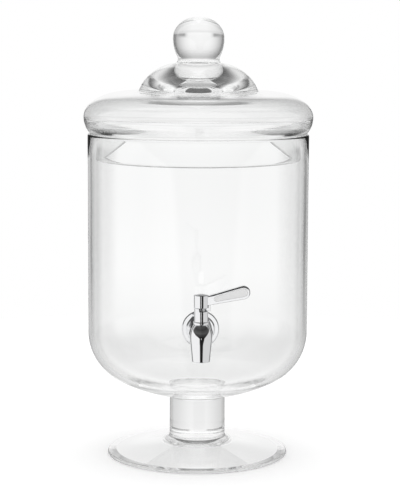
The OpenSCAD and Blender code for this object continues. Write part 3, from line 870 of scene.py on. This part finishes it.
def gasket(name, outer, seat, wall, node):
    """A soft ring with one flat face, on a seat, and one face that follows the bowl's wall."""
    inner, side = SLIP_R, 1 if seat > wall else -1
    flat = seat - side * 0.02
    turns = [2 * math.pi * i / 96 for i in range(96)]

    def ring(r, share):
        """A loop of points part of the way from the flat face to the wall."""
        out = []
        for a in turns:
            x = r * math.cos(a)
            curved = math.sqrt(wall ** 2 - x ** 2) + side * 0.06
            out.append((x, -(flat + (curved - flat) * share), TAP_Z + r * math.sin(a)))
        return out

    loops = [ring(r, share) for r, share in (
        (inner + 0.3, 0), (outer - 0.4, 0), (outer - 0.1, 0.12), (outer, 0.5), (outer - 0.1, 0.88),
        (outer - 0.4, 1), (inner + 0.3, 1), (inner + 0.05, 0.85), (inner + 0.05, 0.15))]
    finish_piece(looped(name, loops, 60), silicone(), "dispenser", "silicone", node)


# Materials

def new_material(name):
    """A new material with its tree and shader, or the material alone where it is made already."""
    material = bpy.data.materials.get(name)
    if material:
        return material, None, None
    material = bpy.data.materials.new(name)
    material.use_nodes = True
    tree = material.node_tree
    return material, tree, tree.nodes["Principled BSDF"]


def own_place(tree):
    """Where a point is in its piece's own coordinates."""
    return add_node(tree, "ShaderNodeTexCoord").outputs["Object"]


def noise(tree, where, scale, detail):
    return add_node(tree, "ShaderNodeTexNoise", {"Vector": where, "Scale": scale, "Detail": detail}).outputs[0]


def between(tree, share, low, high):
    """A share from nothing to one as a value between two limits."""
    return add_node(tree, "ShaderNodeMapRange", {"Value": share, "To Min": low, "To Max": high}).outputs[0]


def bumped(tree, height, strength, distance):
    return add_node(tree, "ShaderNodeBump", {
        "Height": height, "Strength": strength, "Distance": distance}).outputs[0]


def tinted(tree, colour, shade):
    """A colour made darker or lighter by a shade."""
    return add_node(tree, "ShaderNodeVectorMath", {0: colour, "Scale": shade}, operation="SCALE").outputs[0]


def clear_glass():
    """Fire-polished glass, with the faint waves of a blown wall."""
    material, tree, shader = new_material("clear_glass")
    if not tree:
        return material
    waves = noise(tree, own_place(tree), 22.0, 1.0)
    feed(tree, shader, {
        "Base Color": (0.998, 1.0, 0.999, 1), "Roughness": 0.0, "Transmission Weight": 1.0, "IOR": 1.5,
        "Normal": bumped(tree, waves, 0.1, 0.001)})
    return material


def chrome():
    """Polished plating with a faint haze."""
    material, tree, shader = new_material("polished_chrome")
    if not tree:
        return material
    haze = noise(tree, own_place(tree), 900.0, 3.0)
    feed(tree, shader, {
        "Base Color": (0.9, 0.905, 0.915, 1), "Metallic": 1.0, "Roughness": between(tree, haze, 0.03, 0.07)})
    return material


def satin():
    """Matt nickel with fine lines along the lever."""
    material, tree, shader = new_material("satin_nickel")
    if not tree:
        return material
    along = add_node(tree, "ShaderNodeMapping", {
        "Vector": own_place(tree), "Rotation": (0, math.radians(LEVER_LEAN), 0), "Scale": (60, 900, 5000)})
    lines = noise(tree, along.outputs[0], 1.0, 3.0)
    tone = between(tree, lines, 0.86, 1.0)
    grey = add_node(tree, "ShaderNodeCombineColor", {0: tone, 1: tone, 2: tone})
    feed(tree, shader, {
        "Base Color": grey.outputs[0], "Metallic": 0.2, "Roughness": between(tree, lines, 0.36, 0.5),
        "Normal": bumped(tree, lines, 0.15, 0.0001)})
    return material


def steel():
    """Machined steel with a fine grain."""
    material, tree, shader = new_material("machined_steel")
    if not tree:
        return material
    grain = noise(tree, own_place(tree), 1500.0, 4.0)
    feed(tree, shader, {
        "Base Color": tinted(tree, (0.66, 0.67, 0.68), between(tree, grain, 0.85, 1.05)),
        "Metallic": 1.0, "Roughness": between(tree, grain, 0.2, 0.36)})
    return material


def soft_white(name, colour, rough):
    """Milky silicone or slippery plastic with a faint mottle."""
    material, tree, shader = new_material(name)
    if not tree:
        return material
    mottle = noise(tree, own_place(tree), 400.0, 3.0)
    feed(tree, shader, {
        "Base Color": tinted(tree, colour, between(tree, mottle, 0.94, 1.03)),
        "Roughness": between(tree, mottle, rough - 0.06, rough + 0.06),
        "Subsurface Weight": 0.25, "Subsurface Radius": (0.002, 0.002, 0.002)})
    return material


def silicone():
    return soft_white("milky_silicone", (0.86, 0.86, 0.84), 0.45)


def polymer():
    return soft_white("white_polymer", (0.92, 0.92, 0.9), 0.35)


# Studio

def both_sides(stops):
    """Stops by degrees away from straight behind, laid out to the left and to the right."""
    return [(-a, v) for a, v in reversed(stops) if a] + list(stops)


# The room that shows through the glass: white behind, dark at the sides and light in front
GLASS_AROUND = both_sides([
    (0, 1.0), (14, 0.98), (22, 0.89), (30, 0.76), (38, 0.6), (46, 0.44), (54, 0.28), (62, 0.15), (68, 0.14),
    (74, 0.5), (80, 0.9), (100, 0.9), (120, 0.8), (150, 0.95), (180, 0.95)])
# The same with grey cards at both sides, below these heights
GLASS_CARDS = both_sides([
    (0, 1.0), (17, 0.97), (22, 0.72), (25, 0.38), (34, 0.36), (46, 0.36), (58, 0.2), (68, 0.14), (74, 0.5),
    (80, 0.9), (100, 0.9), (120, 0.8), (150, 0.95), (180, 0.95)])
GLASS_BAND = [(-90, 1), (-6, 1), (-1, 0), (90, 0)]
# Paler sides under the cards
GLASS_LOW = both_sides([
    (0, 1.0), (12, 1.0), (21, 0.93), (32, 0.84), (46, 0.74), (60, 0.68), (80, 0.7), (120, 0.8), (180, 0.95)])
GLASS_SPLIT = [(-90, 0), (-11.2, 0), (-8, 1), (90, 1)]
# The walls get darker towards the ceiling, apart from the front of the room
GLASS_UP = [
    (-90, 0.98), (-30, 0.98), (-16, 0.96), (-12.5, 0.86), (-11.2, 0.86), (-10.2, 0.95), (-8.3, 1.0), (-6, 0.97),
    (6, 0.95), (12, 0.88), (20, 0.62), (28, 0.36), (35, 0.24), (50, 0.15), (90, 0.13)]
GLASS_FRONT = both_sides([(0, 0), (112, 0), (124, 1), (180, 1)])
FLOOR_GLOW = 1.08
FLOOR_EDGE = [(-50, 0), (-26, 1)]
# The room that the plating reflects, by degrees from straight in front: white to the left, light grey to the
# right, then dark at both sides and white straight behind
PLATING_AROUND = [
    (-180, 0.95), (-170, 0.95), (-165, 0.05), (-126, 0.05), (-116, 0.96), (0, 0.96),
    (1, 0.72), (116, 0.72), (126, 0.05), (165, 0.05), (170, 0.95), (180, 0.95)]
# Its front half gets darker towards the floor and the ceiling
FRONT_HALF = [(-180, 0), (-110, 0), (-90, 1), (90, 1), (110, 0), (180, 0)]
PLATING_UP = [(-90, 0.15), (-60, 0.2), (-38, 1), (10, 1), (20, 0.35), (32, 0.1), (90, 0.07)]
# A dark stripe in front that widens and fades upwards, with a small white slot in it just below the level
STRIPE_AT = [(-90, 3), (-20, 3), (-12, 8), (-6, 8), (4, 3), (90, 3)]
STRIPE_HALF = [(-90, 17), (-23, 17), (-16, 22), (-9.5, 25), (-2, 42), (8, 75), (16, 112), (90, 118)]
STRIPE_TONE = [(-90, 0.02), (-5, 0.02), (10, 0.08), (25, 0.35), (50, 1), (90, 1)]
STRIPE_BLUR = 3
SLOT_AROUND = (-0.5, 4.8)
SLOT_UP = (-11.8, -8.3)
SLOT_GLOW = 1.0

# The floor and the camera, in metres and degrees
TABLE_R = 0.8
TABLE_DROP = 0.0003
TABLE_TONE = 0.95
TABLE_LIFT = 0.25
LENS = 126.0
CAMERA_TURN = -1.47
CAMERA_PITCH = 7.73
CAMERA_TILT = 0.25
CAMERA_DISTANCE = 1.721
AIM_HEIGHT = 0.2026
AIM_RIGHT = 0.00216
BOUNCES = 96


def ramp(tree, value, span, stops):
    """A tone looked up between stops of (degrees, tone), for a value that is a share of a span of degrees."""
    stops = [(0.5 + place / span, tone) for place, tone in stops]
    stops = ([(0.0, stops[0][1])] if stops[0][0] > 0 else []) + stops
    stops += [(1.0, stops[-1][1])] if stops[-1][0] < 1 else []
    curve = add_node(tree, "ShaderNodeFloatCurve", {"Value": value})
    points = curve.mapping.curves[0].points
    points[0].location, points[1].location = stops[0], stops[-1]
    for stop in stops[1:-1]:
        points.new(*stop)
    for p in points:
        p.handle_type = "VECTOR"
    curve.mapping.clip_max_y = 2.0
    curve.mapping.use_clip = False
    curve.mapping.update()
    return curve.outputs[0]


def window(tree, value, span, limits):
    """One between two limits in degrees and nothing outside them."""
    first, last = (0.5 + limit / span for limit in limits)
    return maths(tree, "COMPARE", value, (first + last) / 2, (last - first) / 2)


def blended(tree, share, first, second):
    """The first value where the share is nothing and the second where it is one."""
    return add_node(tree, "ShaderNodeMix", {0: share, 2: first, 3: second}, data_type="FLOAT").outputs[0]


def glass_room(tree, back, height):
    """The tones that show through the glass."""
    def around(stops):
        return ramp(tree, back, 360, stops)

    def up(stops):
        return ramp(tree, height, 180, stops)

    sides = blended(tree, up(GLASS_BAND), around(GLASS_AROUND), around(GLASS_CARDS))
    sides = blended(tree, up(GLASS_SPLIT), around(GLASS_LOW), sides)
    walls = maths(tree, "MULTIPLY", sides, blended(tree, around(GLASS_FRONT), up(GLASS_UP), 1.0))
    return blended(tree, up(FLOOR_EDGE), FLOOR_GLOW, walls)


def plating_room(tree, front, height):
    """The tones that the plating reflects."""
    def around(stops):
        return ramp(tree, front, 360, stops)

    def up(stops):
        return ramp(tree, height, 180, stops)

    middle = up([(h, 0.5 + a / 360) for h, a in STRIPE_AT])
    half = up([(h, w / 360) for h, w in STRIPE_HALF])
    off = maths(tree, "ABSOLUTE", maths(tree, "SUBTRACT", front, middle))
    clear = add_node(tree, "ShaderNodeMapRange", {
        "Value": maths(tree, "SUBTRACT", off, half), "From Min": -STRIPE_BLUR / 360,
        "From Max": STRIPE_BLUR / 360, "To Min": up(STRIPE_TONE)}).outputs[0]
    above = blended(tree, around(FRONT_HALF), 1.0, up(PLATING_UP))
    walls = maths(tree, "MULTIPLY", maths(tree, "MULTIPLY", around(PLATING_AROUND), above), clear)
    slot = maths(tree, "MULTIPLY", window(tree, front, 360, SLOT_AROUND), window(tree, height, 180, SLOT_UP))
    return blended(tree, slot, walls, SLOT_GLOW)


def studio_world():
    """A white room with grey gaps for the glass and the plating to pick up. The camera sees plain white."""
    world = bpy.data.worlds.new("studio")
    bpy.context.scene.world = world
    world.use_nodes = True
    tree = world.node_tree
    tree.nodes.clear()
    towards = add_node(tree, "ShaderNodeTexCoord").outputs["Generated"]
    axes = add_node(tree, "ShaderNodeSeparateXYZ", {0: towards}).outputs

    def share_of(angle, limit):
        return add_node(tree, "ShaderNodeMapRange", {
            "Value": angle, "From Min": -limit, "From Max": limit}).outputs[0]

    def around(side):
        """Share of a turn, with a half straight behind (side 1) or straight in front (side -1)."""
        ahead = maths(tree, "MULTIPLY", axes[1], side)
        return share_of(maths(tree, "ARCTAN2", axes[0], ahead), math.pi)

    height = share_of(maths(tree, "ARCSINE", axes[2]), math.pi / 2)
    ray = add_node(tree, "ShaderNodeLightPath").outputs
    seen = blended(tree, ray["Is Glossy Ray"], 1.0, plating_room(tree, around(-1), height))
    seen = blended(tree, ray["Is Transmission Ray"], seen, glass_room(tree, around(1), height))
    light = add_node(tree, "ShaderNodeBackground", {"Color": (1, 1, 1, 1), "Strength": seen})
    add_node(tree, "ShaderNodeOutputWorld", {0: light.outputs[0]})


def table_top():
    """A pale round floor that keeps the soft shadow of the foot."""
    bm = bmesh.new()
    bmesh.ops.create_circle(bm, cap_ends=True, radius=TABLE_R, segments=96)
    mesh = bpy.data.meshes.new("table_top")
    bm.to_mesh(mesh)
    bm.free()
    mesh.transform(Matrix.Translation((0, 0, -TABLE_DROP)))
    table = new_piece("table_top", mesh)
    material, tree, shader = new_material("table_white")
    tree.nodes.remove(shader)
    ray = add_node(tree, "ShaderNodeLightPath").outputs
    paint = add_node(tree, "ShaderNodeBsdfDiffuse", {"Color": (TABLE_TONE, TABLE_TONE, TABLE_TONE, 1)})
    fill = add_node(tree, "ShaderNodeEmission", {
        "Strength": maths(tree, "MULTIPLY", ray["Is Camera Ray"], TABLE_LIFT)})
    lit = add_node(tree, "ShaderNodeAddShader", {0: paint.outputs[0], 1: fill.outputs[0]})
    tree.links.new(lit.outputs[0], tree.nodes["Material Output"].inputs["Surface"])
    mesh.materials.append(material)
    table.visible_transmission = table.visible_glossy = False


def camera():
    """The photograph's view: a long lens, slightly above and a little to the tap's left."""
    data = bpy.data.cameras.new("camera")
    data.lens, data.sensor_width = LENS, 36.0
    data.clip_start, data.clip_end = 0.05, 50
    view = bpy.data.objects.new("camera", data)
    bpy.context.scene.collection.objects.link(view)
    turn, pitch = math.radians(CAMERA_TURN), math.radians(CAMERA_PITCH)
    back = Vector((math.sin(turn) * math.cos(pitch), -math.cos(turn) * math.cos(pitch), math.sin(pitch)))
    right = Vector((math.cos(turn), math.sin(turn), 0))
    aim = Vector((0, 0, AIM_HEIGHT)) + right * AIM_RIGHT
    facing = back.to_track_quat("Z", "Y").to_matrix().to_4x4()
    tilt = Matrix.Rotation(math.radians(CAMERA_TILT), 4, "Z")
    view.matrix_world = Matrix.Translation(aim + back * CAMERA_DISTANCE) @ facing @ tilt
    bpy.context.scene.camera = view


def render_settings():
    scene = bpy.context.scene
    scene.view_settings.view_transform = "Standard"
    scene.cycles.max_bounces = BOUNCES
    scene.cycles.transmission_bounces = BOUNCES
    scene.cycles.glossy_bounces = BOUNCES


render_settings()
studio_world()
table_top()
camera()
vessel()
lid()
tap_body()
tap_shank()
escutcheon()
bonnet_sleeve()
lever_handle()
lever_plate()
hub_cap()
lock_nut()
flat_washer()
gasket("front_gasket_silicone", FRONT_GASKET_R, FRONT_SEAT, BOWL_R, "front_gasket")
gasket("rear_gasket_silicone", REAR_GASKET_R, REAR_SEAT, BOWL_IN_R, "rear_gasket")
for name, material in (("core_seal", silicone()), ("spindle_rings", silicone()), ("valve_core", steel()),
                       ("thrust_washer", polymer()), ("handle_screw", steel())):
    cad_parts[name].data.materials.clear()
    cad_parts[name].data.materials.append(material)
